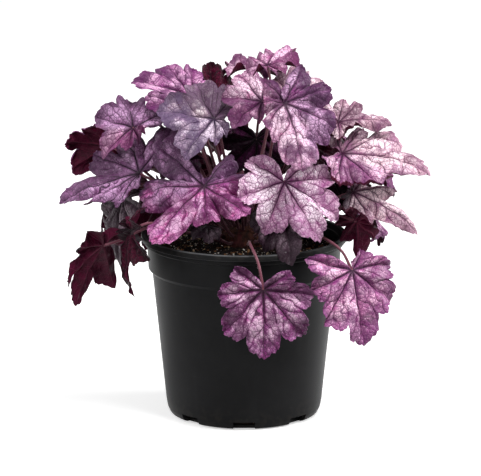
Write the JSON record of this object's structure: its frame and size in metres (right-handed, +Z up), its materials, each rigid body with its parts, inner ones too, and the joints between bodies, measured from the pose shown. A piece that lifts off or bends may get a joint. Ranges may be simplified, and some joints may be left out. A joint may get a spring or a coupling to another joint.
{
  "type": "potted heuchera plant",
  "caption": "Heuchera in a round tapered nursery pot: a mound of lobed, scalloped pink, silver and purple leaves on thin stalks from a woody crown in potting mix.",
  "frame": {"origin": "centre of the pot's flat underside, on the pot's axis", "axes": "+Z up along the pot's axis, -Y towards the front, +X to the right seen from the front"},
  "size_m": [0.2969, 0.2317, 0.3031],
  "materials": {
    "pot_plastic": "satin",
    "potting_mix": "matte",
    "crown_wood": "matte",
    "leaf_pink": "satin",
    "leaf_silver": "satin",
    "leaf_purple": "satin",
    "leaf_grey": "satin",
    "leaf_burgundy": "satin"
  },
  "bodies": {
    "root": {"pot": "pot_plastic", "soil": "potting_mix", "crown": "crown_wood", "leaf_01": "leaf_purple", "leaf_02": "leaf_pink", "leaf_03": "leaf_grey", "leaf_04": "leaf_silver", "leaf_05": "leaf_pink", "leaf_06": "leaf_purple", "leaf_07": "leaf_pink", "leaf_08": "leaf_burgundy", "leaf_09": "leaf_pink", "leaf_10": "leaf_silver", "leaf_11": "leaf_silver", "leaf_12": "leaf_pink", "leaf_13": "leaf_pink", "leaf_14": "leaf_burgundy", "leaf_15": "leaf_silver", "leaf_16": "leaf_silver", "leaf_17": "leaf_pink", "leaf_18": "leaf_grey", "leaf_19": "leaf_burgundy", "leaf_20": "leaf_grey", "leaf_21": "leaf_burgundy", "leaf_22": "leaf_burgundy", "leaf_23": "leaf_grey", "leaf_24": "leaf_burgundy", "leaf_25": "leaf_burgundy", "leaf_26": "leaf_purple", "leaf_27": "leaf_pink", "leaf_28": "leaf_purple", "leaf_29": "leaf_silver", "leaf_30": "leaf_purple", "leaf_31": "leaf_grey", "leaf_32": "leaf_purple", "leaf_33": "leaf_pink", "leaf_34": "leaf_pink", "leaf_35": "leaf_purple", "leaf_36": "leaf_pink", "leaf_37": "leaf_silver", "leaf_38": "leaf_pink", "leaf_39": "leaf_purple", "leaf_40": "leaf_silver", "leaf_41": "leaf_burgundy", "leaf_42": "leaf_burgundy"}
  },
  "joints": []
}
